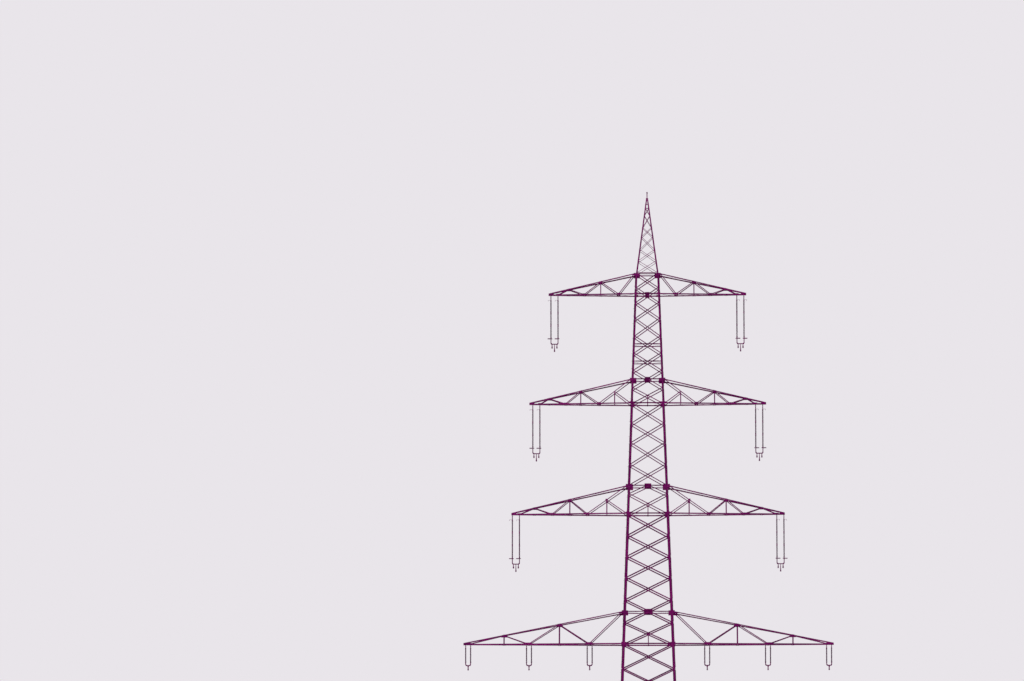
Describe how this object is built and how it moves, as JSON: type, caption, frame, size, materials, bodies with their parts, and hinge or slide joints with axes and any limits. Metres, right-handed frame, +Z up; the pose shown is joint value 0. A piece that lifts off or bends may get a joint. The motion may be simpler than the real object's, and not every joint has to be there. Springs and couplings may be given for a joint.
{
  "type": "half-scale lattice transmission pylon",
  "caption": "Half-scale lattice pylon with four tapering crossarms, a pointed peak, a spread base on four footings and hinged double insulator sets.",
  "frame": {"origin": "middle of the base at ground level", "axes": "+Z up, +X along the crossarms, +Y along the line that it carries"},
  "size_m": [18.472, 4.6434, 32.078],
  "materials": {
    "steel": "weathered galvanised lattice steel, dark plum as in the tinted photograph",
    "insulator": "glazed porcelain long rods with galvanised fittings",
    "concrete": "cast concrete"
  },
  "bodies": {
    "tower": {"footings": "concrete", "base_leg_front_left": "steel", "base_leg_front_right": "steel", "base_leg_rear_left": "steel", "base_leg_rear_right": "steel", "body_leg_front_left": "steel", "body_leg_front_right": "steel", "body_leg_rear_left": "steel", "body_leg_rear_right": "steel", "base_face_front": "steel", "base_face_right": "steel", "base_face_rear": "steel", "base_face_left": "steel", "lower_face_front": "steel", "lower_face_right": "steel", "lower_face_rear": "steel", "lower_face_left": "steel", "upper_face_front": "steel", "upper_face_right": "steel", "upper_face_rear": "steel", "upper_face_left": "steel", "plan_bracing": "steel", "peak": "steel", "peak_bracket": "steel", "crossarm_1_left": "steel", "crossarm_1_right": "steel", "crossarm_2_left": "steel", "crossarm_2_right": "steel", "crossarm_3_left": "steel", "crossarm_3_right": "steel", "crossarm_4_left": "steel", "crossarm_4_right": "steel"},
    "long_set_1_left_body": {"long_set_1_left": "insulator"},
    "long_set_1_right_body": {"long_set_1_right": "insulator"},
    "long_set_2_left_body": {"long_set_2_left": "insulator"},
    "long_set_2_right_body": {"long_set_2_right": "insulator"},
    "long_set_3_left_body": {"long_set_3_left": "insulator"},
    "long_set_3_right_body": {"long_set_3_right": "insulator"},
    "short_set_inner_left_body": {"short_set_inner_left": "insulator"},
    "short_set_inner_right_body": {"short_set_inner_right": "insulator"},
    "short_set_middle_left_body": {"short_set_middle_left": "insulator"},
    "short_set_middle_right_body": {"short_set_middle_right": "insulator"},
    "short_set_outer_left_body": {"short_set_outer_left": "insulator"},
    "short_set_outer_right_body": {"short_set_outer_right": "insulator"}
  },
  "joints": [
    {"name": "long_set_1_left_swing", "type": "hinge", "parent": "tower", "child": "long_set_1_left_body", "pos_m": [-4.672, 0, 26.772], "axis": [1, 0, 0], "range_deg": [-50, 50]},
    {"name": "long_set_1_right_swing", "type": "hinge", "parent": "tower", "child": "long_set_1_right_body", "pos_m": [4.672, 0, 26.772], "axis": [1, 0, 0], "range_deg": [-50, 50]},
    {"name": "long_set_2_left_swing", "type": "hinge", "parent": "tower", "child": "long_set_2_left_body", "pos_m": [-5.587, 0, 21.256], "axis": [1, 0, 0], "range_deg": [-50, 50]},
    {"name": "long_set_2_right_swing", "type": "hinge", "parent": "tower", "child": "long_set_2_right_body", "pos_m": [5.587, 0, 21.256], "axis": [1, 0, 0], "range_deg": [-50, 50]},
    {"name": "long_set_3_left_swing", "type": "hinge", "parent": "tower", "child": "long_set_3_left_body", "pos_m": [-6.615, 0, 15.717], "axis": [1, 0, 0], "range_deg": [-50, 50]},
    {"name": "long_set_3_right_swing", "type": "hinge", "parent": "tower", "child": "long_set_3_right_body", "pos_m": [6.615, 0, 15.717], "axis": [1, 0, 0], "range_deg": [-50, 50]},
    {"name": "short_set_inner_left_swing", "type": "hinge", "parent": "tower", "child": "short_set_inner_left_body", "pos_m": [-2.931, 0, 9.217], "axis": [1, 0, 0], "range_deg": [-50, 50]},
    {"name": "short_set_inner_right_swing", "type": "hinge", "parent": "tower", "child": "short_set_inner_right_body", "pos_m": [2.931, 0, 9.217], "axis": [1, 0, 0], "range_deg": [-50, 50]},
    {"name": "short_set_middle_left_swing", "type": "hinge", "parent": "tower", "child": "short_set_middle_left_body", "pos_m": [-5.961, 0, 9.217], "axis": [1, 0, 0], "range_deg": [-50, 50]},
    {"name": "short_set_middle_right_swing", "type": "hinge", "parent": "tower", "child": "short_set_middle_right_body", "pos_m": [5.961, 0, 9.217], "axis": [1, 0, 0], "range_deg": [-50, 50]},
    {"name": "short_set_outer_left_swing", "type": "hinge", "parent": "tower", "child": "short_set_outer_left_body", "pos_m": [-9.002, 0, 9.217], "axis": [1, 0, 0], "range_deg": [-50, 50]},
    {"name": "short_set_outer_right_swing", "type": "hinge", "parent": "tower", "child": "short_set_outer_right_body", "pos_m": [9.002, 0, 9.217], "axis": [1, 0, 0], "range_deg": [-50, 50]}
  ]
}
